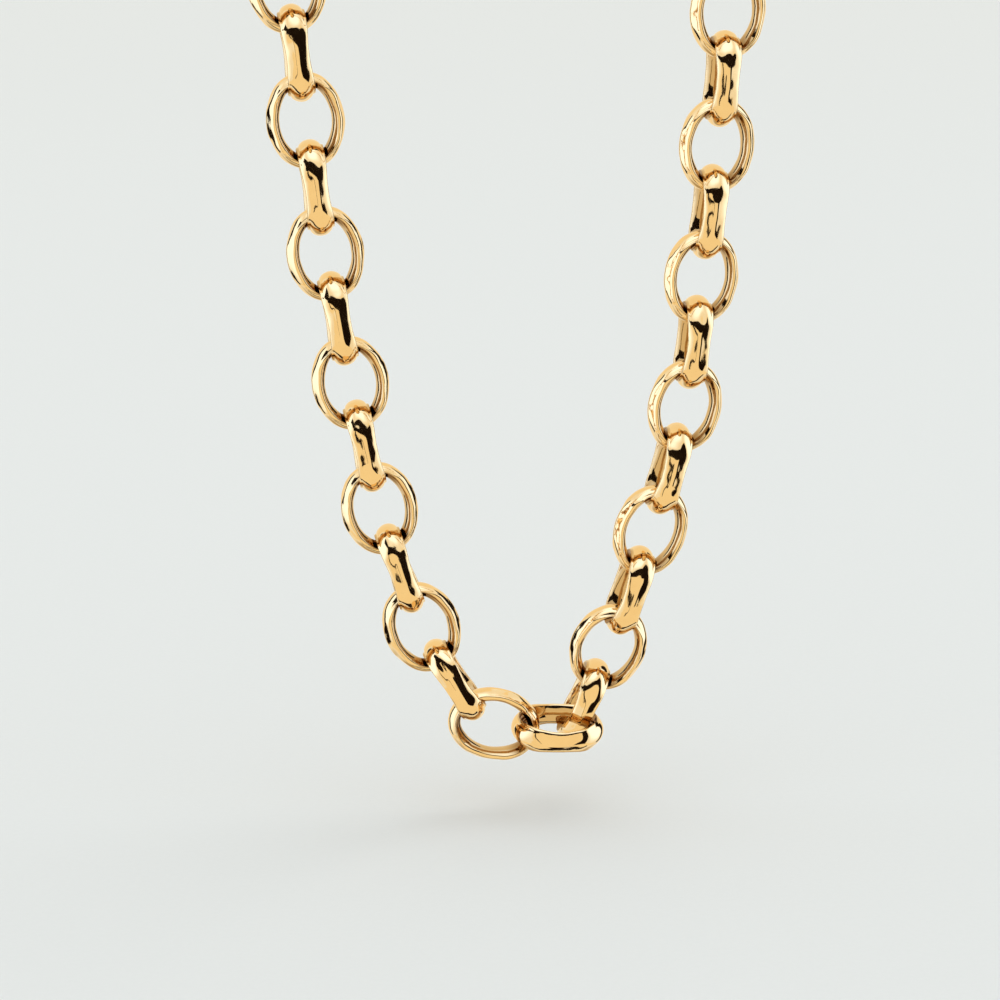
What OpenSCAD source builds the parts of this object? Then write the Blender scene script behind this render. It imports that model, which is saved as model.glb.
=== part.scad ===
// Chain necklace of cast oval belcher links, closed by a lobster clasp.
// The loop hangs in the XZ plane with its front toward -Y, and +Z is up.
// The origin is at the nape, under the middle of the clasp, where the neck holds it.

/* [Links] */
// Outside radius of a link's round ends
link_end_radius = 4.65; // [4.55:0.05:4.75]
// How far the arcs of a link's long sides are struck from those of its ends
link_stretch = 3; // [2.8:0.1:3.2]
// Thickness of the band, measured in the plane of the link
band_thickness = 1.75; // [1.6:0.05:1.8]
// Width of the band at the ends of a link
band_width = 3.6; // [3.4:0.1:3.7]
// How much each edge of the band draws in at the waist
waist_depth = 0.3; // [0.1:0.05:0.5]
// Rise of the band's dome inside the link
inner_rise = 0.6; // [0.55:0.05:0.65]
// Rise of its dome outside
outer_rise = 0.35; // [0.25:0.05:0.5]
// Play between two linked bands
link_play = 0.45; // [0.4:0.05:0.5]

/* [Hang] */
// Turn of the left side's face-on links toward the right, in degrees
left_roll = 6; // [0:1:8]
// The same for the right side
right_roll = 8; // [0:1:9]

/* [Clasp] */
// Thickness of the clasp's body
clasp_thickness = 2.6; // [2.4:0.1:3]
// Thickness of the clasp's hook and eye
hook_thickness = 1.6; // [1.4:0.1:1.7]
// Inside radius of the two rings
ring_inside = 2.8; // [2.7:0.05:3]
// Diameter of the rings' wire
ring_wire = 1.2; // [1:0.05:1.3]
// Radius of the rivet that the clasp's gate turns on
rivet_radius = 0.4; // [0.3:0.05:0.45]

/* [Hidden] */
$fn = 96;
// Slope of each link of the left front arm, from the arch down, and of the right one, from the
// bottom up
left_slopes = [-82, -83, -83, -82.5, -80.5, -80, -79, -78, -76, -71.5, -66, -58.5];
right_slopes = [69, 72, 73, 75, 80, 84, 84, 84, 86, 86, 86];
arch_links = 11;                           // links of each side that go round the neck
LEFT = arch_links + len(left_slopes);     // links before the three at the bottom
CORNER = LEFT + 1;                         // turned link at the lower left
BOTTOM = LEFT + 2;                         // level link at the bottom
RISER = LEFT + 3;                          // link hooked under the back of the level one
LINKS = RISER + len(right_slopes) + arch_links;
OPENED = RISER + 2;                        // last link of the left branch
gold = "#E2B876";

function two(i) = i < 10 ? str("0", i) : str(i);
function link_name(i) = str("link_", two(i));

// ---- the outline of a link: four arcs, two round ends and two long sides ----
// They meet on lines that slope by 4 in 3.
end_centre = 0.6 * link_stretch;
side_centre = 0.8 * link_stretch;
end_angle = atan2(4, 3);
side_radius = link_end_radius + link_stretch;
link_length = 2 * (link_end_radius + end_centre);
link_width = 2 * (side_radius - side_centre);
function dome_radius(rise) = (pow(band_width / 2, 2) + pow(rise, 2)) / (2 * rise);
pivot_inset = band_thickness + link_play / 2;

// A point of the outline drawn in by inset, where the outward direction is at angle a
// from the long axis.
function outline(a, inset) =
    abs(a) <= end_angle ? [end_centre, 0] + (link_end_radius - inset) * [cos(a), sin(a)]
    : abs(a) >= 180 - end_angle ? [-end_centre, 0] + (link_end_radius - inset) * [cos(a), sin(a)]
    : [0, -sign(a) * side_centre] + (side_radius - inset) * [cos(a), sin(a)];

pitch = link_length - 2 * pivot_inset;

// ---- turning: roll about the chain, yaw out of the necklace's plane, then slope ----
function about_x(a) = [[1, 0, 0], [0, cos(a), -sin(a)], [0, sin(a), cos(a)]];
function about_z(a) = [[cos(a), -sin(a), 0], [sin(a), cos(a), 0], [0, 0, 1]];
function slope_up(a) = [[cos(a), 0, -sin(a)], [0, 1, 0], [sin(a), 0, cos(a)]];
function leant(slope, yaw) = slope_up(slope) * about_z(yaw);

// ---- how each link lies: its slope in the necklace's plane, its yaw and its roll ----
corner_slope = -16;
bottom_slope = -2;
corner_roll = 94;
bottom_roll = 10;
riser_roll = -6;
above_riser_roll = 88;
// Where round the corner link's and the level link's ends the next link pulls on them
corner_hook = 10;
bottom_hook = 68;
// Each side of the arch goes on straight from the arm below it for a share of its links,
// and then turns evenly until it is level at the clasp.
function bend(u, straight) = max(0, (u - straight) / (1 - straight));
function arch_left(i, straight) = let (u = (arch_links + 0.5 - i) / arch_links, end = left_slopes[0])
    end - (180 + end) * bend(u, straight);
function arch_right(i, straight) = let (u = (i - 0.5 - LINKS + arch_links) / arch_links,
    end = right_slopes[len(right_slopes) - 1]) end + (180 - end) * bend(u, straight);
function slope(i, straight) =
    i == 0 ? jump_ring_slope
    : i <= arch_links ? arch_left(i, straight)
    : i <= LEFT ? left_slopes[i - arch_links - 1]
    : i == CORNER ? corner_slope
    : i == BOTTOM ? bottom_slope
    : i == RISER ? right_slopes[0]
    : i <= RISER + len(right_slopes) ? right_slopes[i - RISER - 1]
    : i <= LINKS ? arch_right(i, straight)
    : end_ring_slope;

// The level link is hooked round its back, so the three links above it come forward again.
// Each takes up this share of the set-back that is left.
settling = [0.54, 0.7, 1];
function yaw(i, behind) = i < RISER || i > OPENED ? 0 : -asin(settling[i - RISER] * behind / pitch);

// Links are face-on and edge-on by turns.
function face_on(i) = i <= CORNER ? i % 2 == 0 : i > RISER && i % 2 == 1;
function roll(i) =
    i == CORNER ? corner_roll
    : i == BOTTOM ? bottom_roll
    : i == RISER ? riser_roll
    : i == RISER + 1 ? above_riser_roll
    : !face_on(i) ? 0
    : i <= arch_links || i > LINKS - arch_links ? 90
    : i < CORNER ? 90 - left_roll
    : 90 + right_roll;

// ---- where its neighbours pull on a link, before it is rolled ----
// An edge-on link is pulled at the ends of its long axis. A face-on one's neighbours slide
// round its ends until each lies square to the band.
function hooked(a) = let (p = outline(a, pivot_inset)) [p[0], 0, p[1]];
function hooked_under(a) = let (p = outline(a, band_thickness / 2))
    about_x(bottom_roll) * [p[0], p[1], -band_width / 2 + waist_depth - link_play / 2];
function coming_in(i, straight) = face_on(i) ? hooked(180 + slope(i - 1, straight) - slope(i, straight))
    : hooked(180);
function going_out(i, straight) =
    i == CORNER ? hooked(corner_hook)
    : i == BOTTOM ? hooked_under(bottom_hook)
    : face_on(i) ? hooked(slope(i + 1, straight) - slope(i, straight))
    : hooked(0);

// ---- walking along the two branches, from the clasp down to where they meet ----
// Each entry is [centre, turning, contact before, contact after].
function step_on(i, at, straight) = let (
    lean = leant(slope(i, straight), yaw(i, at[1])),
    centre = at - lean * coming_in(i, straight)
) [centre, lean * about_x(roll(i)), at, centre + lean * going_out(i, straight)];
function step_back(i, at, straight) = let (
    lean = leant(slope(i, straight), 0),
    centre = at - lean * going_out(i, straight)
) [centre, lean * about_x(roll(i)), centre + lean * coming_in(i, straight), at];
function walk_on(i, last, at, straight) = let (here = step_on(i, at, straight))
    i == last ? [here] : concat([here], walk_on(i + 1, last, here[3], straight));
function walk_back(i, last, at, straight) = let (here = step_back(i, at, straight))
    i == last ? [here] : concat(walk_back(i - 1, last, here[2], straight), [here]);

// ---- the clasp lies level over the origin ----
clasp_middle = clasp_thickness / 2;
ring_radius = ring_inside + ring_wire / 2;
eye_at = [-6.2, 0];
eye_hole = 1.15;
hook_inside = 5.1;
ring_play = 0.32;
jump_ring_slope = -175;
end_ring_slope = 175;
jump_pull = [eye_at[0] - eye_hole + ring_wire / 2 + ring_play, 0, clasp_middle];
end_pull = [hook_inside - ring_wire / 2 - ring_play, 0, clasp_middle];
function along(a) = [cos(a), 0, sin(a)];
jump_ring_at = jump_pull + ring_radius * along(jump_ring_slope);
end_ring_at = end_pull - ring_radius * along(end_ring_slope);
ring_reach = ring_inside - link_play / 2;
left_start = jump_ring_at + ring_reach * along(jump_ring_slope);
right_start = end_ring_at - ring_reach * along(end_ring_slope);

// The straight share of each side of the arch is solved so that the two branches meet.
function left_end(straight) = walk_on(1, OPENED, left_start, straight)[OPENED - 1][3];
function right_end(straight) = walk_back(LINKS, OPENED + 1, right_start, straight)[0][2];
function in_plane(p) = [p[0], p[2]];
function misfit(shares) = in_plane(left_end(shares[0]) - right_end(shares[1]));
function cross2(a, b) = a[0] * b[1] - a[1] * b[0];
function better(shares) = let (
    h = 0.001,
    now = misfit(shares),
    left_rate = (misfit(shares + [h, 0]) - now) / h,
    right_rate = (misfit(shares + [0, h]) - now) / h,
    det = cross2(left_rate, right_rate)
) shares - [cross2(now, right_rate), cross2(left_rate, now)] / det;
function solved(shares, tries) = tries == 0 ? shares : solved(better(shares), tries - 1);
shares = solved([0.4, 0.4], 8);
left_branch = walk_on(1, OPENED, left_start, shares[0]);
right_branch = walk_back(LINKS, OPENED + 1, right_start, shares[1]);
places = concat(left_branch, right_branch);

module at_place(place) {
    m = place[1];
    c = place[0];
    multmatrix([
        [m[0][0], m[0][1], m[0][2], c[0]],
        [m[1][0], m[1][1], m[1][2], c[1]],
        [m[2][0], m[2][1], m[2][2], c[2]],
        [0, 0, 0, 1]
    ]) children();
}

// The band's cross-section, with its outer face at radius r.
module band(r) {
    intersection() {
        translate([r - dome_radius(outer_rise), 0]) circle(dome_radius(outer_rise));
        translate([r - band_thickness + dome_radius(inner_rise), 0]) circle(dome_radius(inner_rise));
        translate([r - band_thickness / 2, 0]) square([2 * band_thickness, band_width], center = true);
    }
}

// The stretch of a round band between two directions from its centre.
module arc_of_band(r, from, to) {
    far = 2 * link_length;
    intersection() {
        rotate_extrude() band(r);
        linear_extrude(height = 2 * band_width, center = true) polygon([[0, 0], far * from, far * to]);
    }
}

// Cylinders across the link that draw the band in for this far each way from its middle.
waist_reach = 4.2;
module waist_cutters() {
    r = (pow(waist_reach, 2) + pow(waist_depth, 2)) / (2 * waist_depth);
    for (side = [-1, 1])
        translate([0, 0, side * (band_width / 2 - waist_depth + r)])
            rotate([90, 0, 0]) cylinder(h = 2 * link_width, r = r, center = true, $fn = 360);
}

module oval_link() {
    difference() {
        union() {
            for (side = [0, 180]) rotate([0, 0, side]) {
                translate([end_centre, 0, 0])
                    arc_of_band(link_end_radius, [0.6, -0.8], [0.6, 0.8]);
                translate([0, -side_centre, 0])
                    arc_of_band(side_radius, [0.6, 0.8], [-0.6, 0.8]);
            }
        }
        waist_cutters();
    }
}

module link(i) {
    color(gold) at_place(places[i - 1]) oval_link();
}

module ring(at) {
    color(gold) translate(at) rotate([90, 0, 0])
        rotate_extrude() translate([ring_radius, 0]) circle(ring_wire / 2, $fn = 48);
}

// Two circles and their outer tangents.
module pear(a, ra, b, rb) {
    way = atan2(b[1] - a[1], b[0] - a[0]);
    lean = acos((ra - rb) / norm(b - a));
    translate(a) circle(ra);
    translate(b) circle(rb);
    polygon([for (s = [-1, 1], e = s < 0 ? [[a, ra], [b, rb]] : [[b, rb], [a, ra]])
        e[0] + e[1] * [cos(way + s * lean), sin(way + s * lean)]]);
}

// ---- clasp ----
claw_front = [2.5, -0.2];
claw_front_radius = 4.1;
claw_back = [-3, 0];
claw_back_radius = 2.6;
window_front = [2.75, -0.35];
window_front_radius = 2.35;
window_back = [-0.6, -0.9];
window_back_radius = 1.1;
eye_radius = 1.9;
mouth = [[-1.4, -0.6], [-1.4, 5], [3.7, 5], [4.4, 2.3], [4.5, 1], [2.8, 0.4]];
solid_back_end = 2;      // the claw is full thickness behind this
rivet_at = [-2.7, 0.9];
rivet_play = 0.08;
heel_radius = 1.1;
gate_thickness = 1.3;
gate_nose = [3.3, 2.95];
gate_tail = [rivet_at[0] + 0.6, 1.9];
gate_radius = 0.6;
thumb_at = [-1, 3.1];
thumb_radius = 1;
spring_radius = 1.5;
spring_wire = 0.36;
spring_play = 0.15;
slot_height = 1.6;
through = 8;             // more than any thickness that is cut through

module slab(h) { linear_extrude(height = h, center = true) children(); }

module claw_outline() { pear(claw_front, claw_front_radius, claw_back, claw_back_radius); }
module claw_window() { pear(window_front, window_front_radius, window_back, window_back_radius); }

module clasp_body() {
    color(gold) translate([0, 0, clasp_middle]) difference() {
        union() {
            // solid back half
            intersection() {
                slab(clasp_thickness) claw_outline();
                translate([solid_back_end - link_length, 0, 0]) cube(2 * link_length, center = true);
            }
            slab(hook_thickness) claw_outline();
            slab(hook_thickness) pear(eye_at, eye_radius, eye_at + [1.6, 0], eye_radius);
        }
        slab(through) {
            claw_window();
            translate(eye_at) circle(eye_hole);
            translate(rivet_at) circle(rivet_radius);
            // the gate closes over the mouth
            polygon(mouth);
        }
        // slot for the gate's heel and spring
        slab(slot_height) translate(rivet_at) {
            circle(spring_radius + spring_wire + spring_play);
            translate([3, 1.2]) square([6, 4.4], center = true);
            translate([0.8, 3]) square([3, 4], center = true);
        }
    }
}

module clasp_gate() {
    color(gold) translate([0, 0, clasp_middle]) difference() {
        slab(gate_thickness) {
            pear(gate_tail, gate_radius + 0.1, gate_nose, gate_radius);
            translate(rivet_at) circle(heel_radius);
            translate(thumb_at) circle(thumb_radius);
        }
        slab(through) translate(rivet_at) circle(rivet_radius + rivet_play);
    }
}

module clasp_rivet() {
    color(gold) translate([rivet_at[0], rivet_at[1], clasp_middle])
        cylinder(h = clasp_thickness, r = rivet_radius, center = true);
}

// Sprung wire round the gate's heel
module clasp_spring() {
    color("silver") translate([rivet_at[0], rivet_at[1], clasp_middle])
        rotate([0, 0, 105]) rotate_extrude(angle = 200)
            translate([spring_radius, 0]) circle(spring_wire / 2, $fn = 24);
}

module jump_ring() { ring(jump_ring_at); }
module end_ring() { ring(end_ring_at); }

clasp_body();
clasp_gate();
clasp_rivet();
clasp_spring();
jump_ring();
end_ring();
for (i = [1:LINKS])
    link(i);
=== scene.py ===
import math
import random

import bmesh
import bpy
import numpy as np
from mathutils import Matrix, Vector, noise


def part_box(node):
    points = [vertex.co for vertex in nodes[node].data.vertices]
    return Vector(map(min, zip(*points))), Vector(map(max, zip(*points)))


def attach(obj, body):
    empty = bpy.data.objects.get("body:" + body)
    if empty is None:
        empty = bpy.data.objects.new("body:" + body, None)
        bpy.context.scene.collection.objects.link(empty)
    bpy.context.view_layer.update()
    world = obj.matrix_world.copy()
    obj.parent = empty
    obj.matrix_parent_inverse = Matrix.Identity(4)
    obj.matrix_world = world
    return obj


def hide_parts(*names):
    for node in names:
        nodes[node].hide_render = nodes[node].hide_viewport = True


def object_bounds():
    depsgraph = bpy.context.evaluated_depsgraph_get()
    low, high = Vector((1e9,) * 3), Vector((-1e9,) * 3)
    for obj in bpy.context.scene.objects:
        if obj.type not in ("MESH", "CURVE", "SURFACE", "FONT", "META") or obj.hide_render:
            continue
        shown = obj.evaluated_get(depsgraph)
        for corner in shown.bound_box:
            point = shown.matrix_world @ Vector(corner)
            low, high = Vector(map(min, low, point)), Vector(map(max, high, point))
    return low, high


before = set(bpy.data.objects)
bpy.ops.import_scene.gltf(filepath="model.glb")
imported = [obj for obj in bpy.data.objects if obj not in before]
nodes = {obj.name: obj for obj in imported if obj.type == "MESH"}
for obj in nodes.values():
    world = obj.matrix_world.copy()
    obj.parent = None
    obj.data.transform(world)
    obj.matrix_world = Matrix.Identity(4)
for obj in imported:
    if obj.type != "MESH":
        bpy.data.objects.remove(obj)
cad_low, cad_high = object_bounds()

MM = 0.001

# ---- the link's own dimensions that its box doesn't give, in millimetres ----
# Heights are from the middle of the band's thickness, outward.
BAND_THICKNESS = 1.75
OUTER_RISE = 0.35       # rise of the band's outer dome
INNER_RISE = 0.60       # rise of its dome inside the link
WAIST_EDGE = 0.25       # height of the outer face's edges half way along the link
WAIST_INNER_EDGE = -0.40    # and of the inner face's
END_DROP = 0.55         # how much lower those edges lie at the rounded ends of a link
EDGE_REACH = 0.56       # how far the rounded edges stand out
WAIST_DEPTH = 0.28      # how far each edge draws in there
RIDGE_SHARE = 0.30      # half-width of the raised middle there, as a share of the band's
WIDE_RIDGE = 0.62       # the same where the ridge runs out
RIDGE_FALL = 0.12       # how much lower the ridge's shoulders are than its middle
RIDGE_POINTS = 0.4      # share of the points across the band that lie on the ridge
DIMPLES = 5             # on each link
CAST_SWELL = 0.075      # height of the soft swellings of a cast link
CAST_RUB = 0.022        # height of the finer unevenness that polishing leaves
CLASP_SWELL = 0.03      # height of the soft swellings on the clasp and the rings

# ---- how finely a link is drawn ----
OUTLINE_STEPS = 2881    # directions tried while its points are spaced evenly
AROUND = 128            # rings of points round a link
ACROSS = 15             # points from the middle of the outer face to its edge
ACROSS_INSIDE = 7       # the same on the inner face
EDGE_STEPS = 9          # points round an edge, with its two ends

# ---- the view: where the camera stands round the lowest link ----
VIEW_AZIMUTH = -6.5
VIEW_ELEVATION = 14.0
VIEW_DISTANCE = 0.443
VIEW_ABOVE_LOWEST = 0.0373
VIEW_RIGHT_OF_ORIGIN = -0.0040
LENS = 117.0

FLOOR_DROP = 0.007      # from the lowest link to the floor
FLOOR_SIZE = 60.0
TENT_RADIUS = 3.0
CARD_DISTANCE = 1.0     # from the necklace to each card and flag


def link_names():
    return sorted(n for n in nodes if n.startswith("link_"))


def lowest_link():
    return min(link_names(), key=lambda n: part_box(n)[0].z)


def smooth(x):
    """0 below 0, 1 above 1 and a soft step between."""
    x = np.clip(x, 0, 1)
    return x * x * (3 - 2 * x)


# ---------------------------------------------------------------- materials
def new_material(name):
    m = bpy.data.materials.new(name)
    m.use_nodes = True
    tree = m.node_tree
    return m, tree, tree.nodes["Principled BSDF"]


def add(tree, kind, **inputs):
    """A new node with the given values on its inputs."""
    n = tree.nodes.new(kind)
    for key, value in inputs.items():
        n.inputs[key.replace("_", " ")].default_value = value
    return n


def add_mix(tree, first, second=None):
    """A colour mix; its first colour is None where a link gives it."""
    n = tree.nodes.new("ShaderNodeMix")
    n.data_type = "RGBA"
    for key, colour in (("A", first), ("B", second)):
        if colour is not None:
            n.inputs[key].default_value = colour
    return n


def polished_gold(name, colour, deep, roughness):
    """Polished plated gold, a little cloudy, with hairline scratches, soft ripples and
    painted shade darkening its recesses."""
    m, tree, shader = new_material(name)
    link = tree.links.new
    shader.inputs["Metallic"].default_value = 1.0
    place = add(tree, "ShaderNodeTexCoord")

    cloud = add(tree, "ShaderNodeTexNoise", Scale=420.0, Detail=4.0, Roughness=0.55)
    link(place.outputs["Object"], cloud.inputs["Vector"])
    tint = add_mix(tree, colour, deep)
    spread = add(tree, "ShaderNodeMapRange", From_Min=0.35, From_Max=0.75)
    link(cloud.outputs["Fac"], spread.inputs["Value"])
    link(spread.outputs["Result"], tint.inputs["Factor"])
    # painted shade: where the recess mask is set, the gold is darkened towards a dark brown
    painted_recess_shade = tree.nodes.new("ShaderNodeAttribute")
    painted_recess_shade.attribute_name = "painted_recess_shade"
    shaded = add_mix(tree, None, (0.32, 0.17, 0.055, 1))
    link(painted_recess_shade.outputs["Fac"], shaded.inputs["Factor"])
    link(tint.outputs["Result"], shaded.inputs["A"])
    link(shaded.outputs["Result"], shader.inputs["Base Color"])

    smear = add(tree, "ShaderNodeTexNoise", Scale=900.0, Detail=6.0, Roughness=0.65)
    link(place.outputs["Object"], smear.inputs["Vector"])
    polish = add(tree, "ShaderNodeMapRange", From_Min=0.3, From_Max=0.8,
                 To_Min=roughness * 0.7, To_Max=roughness * 1.9)
    link(smear.outputs["Fac"], polish.inputs["Value"])
    link(polish.outputs["Result"], shader.inputs["Roughness"])

    ripple = add(tree, "ShaderNodeTexNoise", Scale=650.0, Detail=2.0, Roughness=0.4)
    link(place.outputs["Object"], ripple.inputs["Vector"])
    scratch_map = tree.nodes.new("ShaderNodeMapping")
    scratch_map.inputs["Scale"].default_value = (1.0, 14.0, 3.0)
    link(place.outputs["Object"], scratch_map.inputs["Vector"])
    scratch = add(tree, "ShaderNodeTexNoise", Scale=1500.0, Detail=3.0, Roughness=0.7)
    link(scratch_map.outputs["Vector"], scratch.inputs["Vector"])
    coarse = add(tree, "ShaderNodeBump", Strength=0.10, Distance=0.00012)
    fine = add(tree, "ShaderNodeBump", Strength=0.05, Distance=0.00002)
    link(ripple.outputs["Fac"], coarse.inputs["Height"])
    link(scratch.outputs["Fac"], fine.inputs["Height"])
    link(coarse.outputs["Normal"], fine.inputs["Normal"])
    link(fine.outputs["Normal"], shader.inputs["Normal"])
    return m


def drawn_steel(name):
    """Hard-drawn spring wire with a faint grain."""
    m, tree, shader = new_material(name)
    shader.inputs["Metallic"].default_value = 1.0
    place = add(tree, "ShaderNodeTexCoord")
    grain = add(tree, "ShaderNodeTexNoise", Scale=1800.0, Detail=3.0)
    tree.links.new(place.outputs["Object"], grain.inputs["Vector"])
    ramp = tree.nodes.new("ShaderNodeValToRGB")
    ramp.color_ramp.elements[0].color = (0.42, 0.40, 0.37, 1)
    ramp.color_ramp.elements[1].color = (0.66, 0.64, 0.60, 1)
    tree.links.new(grain.outputs["Fac"], ramp.inputs["Fac"])
    tree.links.new(ramp.outputs["Color"], shader.inputs["Base Color"])
    rough = add(tree, "ShaderNodeMapRange", To_Min=0.2, To_Max=0.4)
    tree.links.new(grain.outputs["Fac"], rough.inputs["Value"])
    tree.links.new(rough.outputs["Result"], shader.inputs["Roughness"])
    return m


def matte(name, light, dark, scale):
    """A plain surface with a faint mottle."""
    m, tree, shader = new_material(name)
    shader.inputs["Roughness"].default_value = 0.9
    place = add(tree, "ShaderNodeTexCoord")
    mottle = add(tree, "ShaderNodeTexNoise", Scale=scale, Detail=5.0)
    tree.links.new(place.outputs["Object"], mottle.inputs["Vector"])
    ramp = tree.nodes.new("ShaderNodeValToRGB")
    ramp.color_ramp.elements[0].color = dark
    ramp.color_ramp.elements[1].color = light
    tree.links.new(mottle.outputs["Fac"], ramp.inputs["Fac"])
    tree.links.new(ramp.outputs["Color"], shader.inputs["Base Color"])
    return m


def glowing(name, colour, rim):
    """Light from a card, fading to another level round its rim."""
    m = bpy.data.materials.new(name)
    m.use_nodes = True
    tree = m.node_tree
    tree.nodes.clear()
    out = tree.nodes.new("ShaderNodeOutputMaterial")
    glow = add(tree, "ShaderNodeEmission", Strength=1.0)
    place = tree.nodes.new("ShaderNodeTexCoord")
    grow = tree.nodes.new("ShaderNodeMapping")
    grow.inputs["Scale"].default_value = (2.0, 2.0, 2.0)
    middle = tree.nodes.new("ShaderNodeTexGradient")
    middle.gradient_type = "SPHERICAL"
    fade = add(tree, "ShaderNodeMapRange", From_Min=0.0, From_Max=0.65)
    fade.interpolation_type = "SMOOTHSTEP"
    mixed = add_mix(tree, rim, colour)
    link = tree.links.new
    link(place.outputs["Object"], grow.inputs["Vector"])
    link(grow.outputs["Vector"], middle.inputs["Vector"])
    link(middle.outputs["Fac"], fade.inputs["Value"])
    link(fade.outputs["Result"], mixed.inputs["Factor"])
    link(mixed.outputs["Result"], glow.inputs["Color"])
    link(glow.outputs["Emission"], out.inputs["Surface"])
    return m


# ---------------------------------------------------------------- links
def link_frame(node):
    """A link's centre, its axes (long, wide and through) and its three extents in
    millimetres, from its CAD mesh."""
    mesh = nodes[node].data
    mesh.calc_loop_triangles()
    co = np.array([v.co for v in mesh.vertices], float)
    tri = np.array([t.vertices for t in mesh.loop_triangles])
    a, b, c = co[tri[:, 0]], co[tri[:, 1]], co[tri[:, 2]]
    area = np.linalg.norm(np.cross(b - a, c - a), axis=1) / 2
    centroid = ((a + b + c) / 3 * area[:, None]).sum(0) / area.sum()
    spread = np.zeros((3, 3))
    for p in ((a + b) / 2, (b + c) / 2, (c + a) / 2):
        d = p - centroid
        spread += (d * area[:, None]).T @ d
    _, axes = np.linalg.eigh(spread)
    through, wide, long_way = axes[:, 0], axes[:, 1], axes[:, 2]
    if long_way[2] > 0:
        long_way = -long_way
    # the side that faces the front is the first one
    if wide[1] > 0:
        wide = -wide
    through = np.cross(long_way, wide)
    turn = np.stack([long_way, wide, through], axis=1)
    local = (co - centroid) @ turn
    low, high = local.min(0), local.max(0)
    return centroid + turn @ ((low + high) / 2), turn, (high - low) / MM


def link_mesh(name, size, seed):
    """One cast link in its own axes: a band that is round at its ends and carved to a
    narrow ridge half way along each side. Size is in millimetres."""
    rng = random.Random(seed)
    length, width, band = size
    stretch = (length - width) / 0.8
    end_radius = width / 2 - 0.2 * stretch
    side_radius = end_radius + stretch
    end_at, side_at = 0.6 * stretch, 0.8 * stretch
    corner = math.degrees(math.atan2(4, 3))

    # directions spaced evenly along the outline
    fine = np.linspace(-180, 180, OUTLINE_STEPS)
    is_end = (np.abs(fine) <= corner) | (np.abs(fine) >= 180 - corner)
    run = np.concatenate([[0], np.cumsum(np.where(is_end, end_radius, side_radius)[1:])])
    direction = np.interp(np.linspace(0, run[-1], AROUND + 1)[:-1], run, fine)
    ends = (np.abs(direction) <= corner) | (np.abs(direction) >= 180 - corner)
    radius = np.where(ends, end_radius, side_radius)
    centre_x = np.where(ends, np.where(np.abs(direction) < 90, end_at, -end_at), 0)
    centre_y = np.where(ends, 0, -np.sign(direction) * side_at)
    cos, sin = np.cos(np.radians(direction)), np.sin(np.radians(direction))
    along = (centre_x + (radius - BAND_THICKNESS / 2) * cos) / (length / 2)

    # how far the band is waisted, carved and rounded at each place along the link
    half = BAND_THICKNESS / 2
    waisted = (1 - smooth((np.abs(along) - 0.08) / 0.58))[:, None]
    carved = (1 - smooth((np.abs(along) - 0.20 - rng.uniform(0, 0.06)) / 0.34))[:, None]
    ridge = RIDGE_SHARE + (WIDE_RIDGE - RIDGE_SHARE) * (1 - carved)
    rounded = smooth((np.abs(along) - 0.40) / 0.50)[:, None]
    edge_top = (half - OUTER_RISE + (WAIST_EDGE - half + OUTER_RISE) * carved
                - END_DROP * rounded)
    edge_bottom = -(half - INNER_RISE) + (WAIST_INNER_EDGE + half - INNER_RISE) * carved

    # the rounded edge between the two faces is part of an ellipse
    from_top, from_bottom = np.radians(65 - 12 * carved), math.radians(50)
    edge_rise = (edge_top - edge_bottom) / (np.sin(from_top) + math.sin(from_bottom))
    edge_middle = edge_top - edge_rise * np.sin(from_top)
    edge_root = band / 2 - EDGE_REACH - WAIST_DEPTH * waisted
    half_outer = edge_root + EDGE_REACH * np.cos(from_top)
    half_inner = edge_root + EDGE_REACH * math.cos(from_bottom)

    # across the outer face, with a line of points on each shoulder of the ridge
    u = np.linspace(-1, 1, 2 * ACROSS + 1)[None, :]
    on_ridge = np.abs(u) <= RIDGE_POINTS
    away = np.where(on_ridge, np.abs(u) / RIDGE_POINTS * ridge,
                    ridge + (np.abs(u) - RIDGE_POINTS) / (1 - RIDGE_POINTS) * (1 - ridge))
    v = np.sign(u) * away
    dome = np.maximum(1 - away ** 2, 0) ** (1 - 0.3 * rounded)
    plain = edge_top + (half - edge_top) * dome
    shoulder = half - RIDGE_FALL
    top = half - (half - shoulder) * (away / ridge) ** 2
    beyond = np.clip((away - ridge) / (1 - ridge), 0, 1)
    bevel = edge_top + (shoulder - edge_top) * (1 - beyond) ** 0.88
    sculpted = np.where(on_ridge, top, bevel)
    outer = plain * (1 - carved) + sculpted * carved
    lean = rng.uniform(-0.12, 0.12)
    z = (v + lean * carved * (1 - v ** 2)) * half_outer

    # dimples left by polishing where each ridge begins
    side = np.where(direction > 0, 1, -1)
    for _ in range(DIMPLES):
        at, way = rng.choice([-1, 1]) * rng.uniform(0.34, 0.62), rng.choice([-1, 1])
        off = rng.uniform(-0.3, 0.3)
        far = ((along - at) * 6.2 / rng.uniform(0.5, 1.0)) ** 2
        dip = np.exp(-(far[:, None] + ((v - off) * 1.6 / 0.45) ** 2))
        outer -= rng.uniform(0.03, 0.10) * dip * (side == way)[:, None]

    # the inner face and the two edges
    w = np.cos(np.linspace(math.pi, 0, 2 * ACROSS_INSIDE + 1))[None, :]
    inner = edge_bottom - (half + edge_bottom) * (1 - np.abs(w) ** 2.3)
    step = np.linspace(0, 1, EDGE_STEPS)[None, 1:-1]
    arc = -from_bottom + (from_top + from_bottom) * step
    edge_h = edge_middle + edge_rise * np.sin(arc)
    edge_z = edge_root + EDGE_REACH * np.cos(arc)
    h = np.concatenate([outer, edge_h[:, ::-1], inner[:, ::-1], edge_h], axis=1)
    z = np.concatenate([z, edge_z[:, ::-1], (w * half_inner)[:, ::-1], -edge_z], axis=1)
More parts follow.
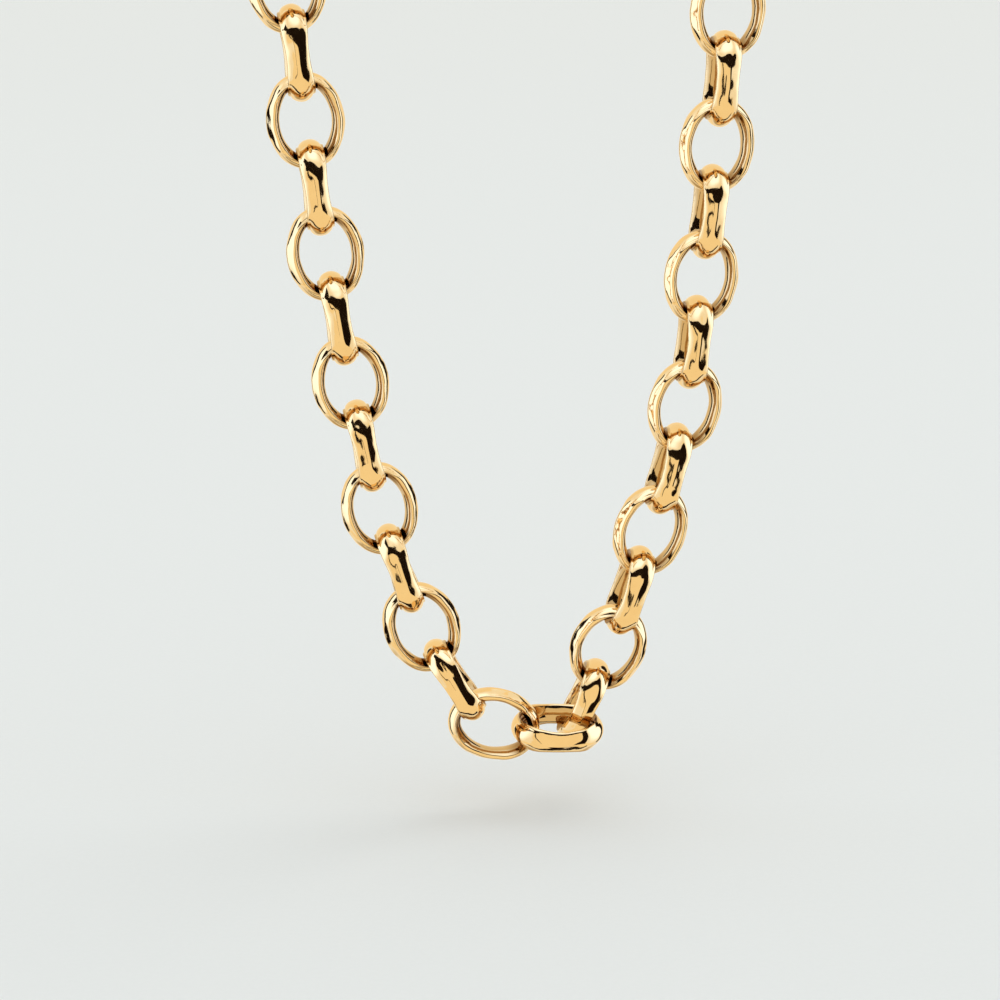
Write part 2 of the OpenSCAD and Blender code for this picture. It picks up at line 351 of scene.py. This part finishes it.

    # painted shade: the inner face is darkened, most of all inside the ends, where the next
    # link sits
    near_end = smooth((np.abs(along) - 0.4) / 0.4)[:, None]
    painted_shade = smooth((0.25 * near_end - 0.1 - h) / 0.4) * (0.42 + 0.58 * near_end)

    reach = radius[:, None] - half + h
    x = centre_x[:, None] + reach * cos[:, None]
    y = centre_y[:, None] + reach * sin[:, None]
    points = np.stack([x, y, z], axis=2)

    # hand-finished: soft swellings and a finer unevenness
    shift = Vector((rng.uniform(0, 90), rng.uniform(0, 90), rng.uniform(0, 90)))
    flat = points.reshape(-1, 3)
    swell = np.array([noise.noise(Vector(p) * 0.42 + shift) for p in flat]).reshape(h.shape)
    rub = np.array([noise.noise(Vector(p) * 1.1 + shift) for p in flat]).reshape(h.shape)
    out = np.sign(h) * (CAST_SWELL * swell + CAST_RUB * rub)
    points[:, :, 0] += out * cos[:, None]
    points[:, :, 1] += out * sin[:, None]

    across = h.shape[1]
    faces = []
    for i in range(AROUND):
        n = (i + 1) % AROUND
        for j in range(across):
            m = (j + 1) % across
            faces.append((i * across + j, n * across + j, n * across + m, i * across + m))
    mesh = bpy.data.meshes.new(name)
    mesh.from_pydata((points.reshape(-1, 3) * MM).tolist(), [], faces)
    # the painted shade mask, read by the gold material to darken its colour
    shade = mesh.attributes.new("painted_recess_shade", "FLOAT", "POINT")
    shade.data.foreach_set("value", painted_shade.reshape(-1).astype(np.float32))
    mesh.update()
    for p in mesh.polygons:
        p.use_smooth = True
    return mesh


def recalc_outward(mesh):
    bm = bmesh.new()
    bm.from_mesh(mesh)
    bmesh.ops.recalc_face_normals(bm, faces=bm.faces)
    bm.to_mesh(mesh)
    bm.free()


def put(name, mesh, material, body, replaced):
    """Adds a finished piece in place of a CAD node."""
    obj = bpy.data.objects.new(name, mesh)
    bpy.context.scene.collection.objects.link(obj)
    mesh.materials.clear()
    mesh.materials.append(material)
    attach(obj, body)
    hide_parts(replaced)
    return obj


def make_links(material):
    for i, node in enumerate(link_names()):
        centre, turn, size = link_frame(node)
        mesh = link_mesh("cast_" + node, size, 100 + i)
        place = Matrix(turn.tolist()).to_4x4()
        place.translation = Vector(centre)
        mesh.transform(place)
        recalc_outward(mesh)
        put("cast_" + node, mesh, material, node, node)


# ---------------------------------------------------------------- rings and clasp
def softened(name, node, voxel, passes):
    """A copy of a CAD solid with its edges rounded as casting and polishing leave them."""
    mesh = nodes[node].data.copy()
    obj = bpy.data.objects.new(name, mesh)
    bpy.context.scene.collection.objects.link(obj)
    remesh = obj.modifiers.new("remesh", "REMESH")
    remesh.mode = "VOXEL"
    remesh.voxel_size = voxel
    relax = obj.modifiers.new("relax", "SMOOTH")
    relax.factor = 0.5
    relax.iterations = passes
    bpy.context.view_layer.update()
    graph = bpy.context.evaluated_depsgraph_get()
    ready = bpy.data.meshes.new_from_object(obj.evaluated_get(graph))
    bpy.data.objects.remove(obj)
    points = np.empty(len(ready.vertices) * 3)
    normals = np.empty(len(ready.vertices) * 3)
    ready.vertices.foreach_get("co", points)
    ready.vertex_normals.foreach_get("vector", normals)
    points, normals = points.reshape(-1, 3), normals.reshape(-1, 3)
    swell = np.array([noise.noise(Vector(p) * 0.55 / MM) for p in points])
    points = points + normals * swell[:, None] * CLASP_SWELL * MM
    ready.vertices.foreach_set("co", points.ravel())
    ready.update()
    for p in ready.polygons:
        p.use_smooth = True
    return ready


def make_clasp(material):
    for name, node, body, voxel, passes in (
        ("clasp_body_cast", "clasp_body", "clasp", 0.08, 9),
        ("clasp_gate_cast", "clasp_gate", "clasp_gate", 0.08, 8),
        ("jump_ring_wire", "jump_ring", "jump_ring", 0.10, 3),
        ("end_ring_wire", "end_ring", "end_ring", 0.10, 3),
    ):
        put(name, softened(name, node, voxel * MM, passes), material, body, node)


# ---------------------------------------------------------------- the studio
def show_only_in_reflections(obj):
    obj.visible_camera = False
    obj.visible_diffuse = False
    obj.visible_shadow = False


def panel(name, centre, target, width, height, material):
    """A flat rectangle facing target."""
    bpy.ops.mesh.primitive_plane_add(size=1)
    obj = bpy.context.object
    obj.name = name
    obj.scale = (width, height, 1)
    obj.location = centre
    obj.rotation_mode = "QUATERNION"
    obj.rotation_quaternion = (Vector(target) - Vector(centre)).to_track_quat("Z", "Y")
    obj.data.materials.append(material)
    show_only_in_reflections(obj)


def round_target(target, azimuth, elevation, distance):
    """A place round the target; azimuth 0 is in front of it, and 90 to its right."""
    a, e = math.radians(azimuth), math.radians(elevation)
    toward = Vector((math.sin(a) * math.cos(e), -math.cos(a) * math.cos(e), math.sin(e)))
    return Vector(target) + distance * toward


def make_floor(height):
    material = matte("studio_floor", (0.825, 0.828, 0.795, 1), (0.800, 0.803, 0.770, 1), 1300.0)
    bpy.ops.mesh.primitive_plane_add(size=FLOOR_SIZE, location=(0, 0, height))
    floor = bpy.context.object
    floor.name = "floor"
    floor.data.materials.append(material)
    floor.visible_glossy = False


def make_lights(target):
    data = bpy.data.lights.new("overhead", "SUN")
    data.energy = 0.29
    data.angle = math.radians(32)
    overhead = bpy.data.objects.new("overhead", data)
    overhead.rotation_mode = "QUATERNION"
    toward = round_target((0, 0, 0), 125, 66, 1.0)
    overhead.rotation_quaternion = (-toward).to_track_quat("-Z", "Y")
    bpy.context.scene.collection.objects.link(overhead)

    # a tent that only reflections see, with bright cards and dark flags inside it
    warm = (0.99, 0.87, 0.61, 1)
    bpy.ops.mesh.primitive_uv_sphere_add(radius=TENT_RADIUS, location=target)
    tent = bpy.context.object
    tent.name = "tent"
    tent.data.materials.append(glowing("tent", warm, warm))
    show_only_in_reflections(tent)

    white, pale = (1.40, 1.62, 2.0, 1), (0.98, 0.98, 0.92, 1)
    dark, brown = (0.010, 0.006, 0.004, 1), (0.48, 0.37, 0.20, 1)
    for name, azimuth, elevation, width, height, colour, rim in (
        ("card_left", -94, 8, 1.75, 2.3, white, pale),
        ("card_right", 96, 8, 1.35, 2.3, white, pale),
        ("card_top", -10, 82, 1.5, 1.3, white, pale),
        ("flag_right", 49, 0, 0.50, 1.8, dark, dark),
        ("flag_top", -8, 39, 2.2, 0.40, dark, dark),
        ("flag_top_left", -68, 38, 0.5, 0.22, dark, dark),
        ("flag_left", -43, 4, 0.08, 1.8, dark, dark),
        ("flag_back_right", 128, 0, 0.30, 1.6, dark, dark),
        ("flag_back_left", -122, 0, 0.26, 1.6, dark, dark),
        ("flag_under", 0, -93, 1.6, 0.16, dark, dark),
        ("card_under", 180, -58, 1.8, 0.9, brown, pale),
    ):
        centre = round_target(target, azimuth, elevation, CARD_DISTANCE)
        panel(name, centre, target, width, height, glowing(name, colour, rim))

    world = bpy.data.worlds.new("studio_air")
    bpy.context.scene.world = world
    world.use_nodes = True
    air = world.node_tree.nodes["Background"]
    air.inputs["Color"].default_value = (0.93, 0.97, 1.0, 1)
    air.inputs["Strength"].default_value = 0.89
    bpy.context.scene.view_settings.view_transform = "Standard"


def make_camera(target):
    data = bpy.data.cameras.new("camera")
    data.lens = LENS
    data.clip_start, data.clip_end = 0.01, 20
    cam = bpy.data.objects.new("camera", data)
    cam.location = round_target(target, VIEW_AZIMUTH, VIEW_ELEVATION, VIEW_DISTANCE)
    cam.rotation_mode = "QUATERNION"
    cam.rotation_quaternion = (Vector(target) - cam.location).to_track_quat("-Z", "Y")
    bpy.context.scene.collection.objects.link(cam)
    bpy.context.scene.camera = cam


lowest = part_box(lowest_link())[0].z
target = Vector((VIEW_RIGHT_OF_ORIGIN, 0, lowest + VIEW_ABOVE_LOWEST))
make_camera(target)
gold = polished_gold("gold_links", (0.94, 0.69, 0.37, 1), (0.91, 0.65, 0.34, 1), 0.055)
gold_clasp = polished_gold("gold_clasp", (0.94, 0.69, 0.37, 1), (0.91, 0.65, 0.34, 1), 0.08)
steel = drawn_steel("spring_steel")
make_links(gold)
make_clasp(gold_clasp)
for name, material in (("clasp_rivet", gold_clasp), ("clasp_spring", steel)):
    for s in nodes[name].material_slots:
        s.material = material
make_floor(cad_low.z - FLOOR_DROP)
make_lights(target)
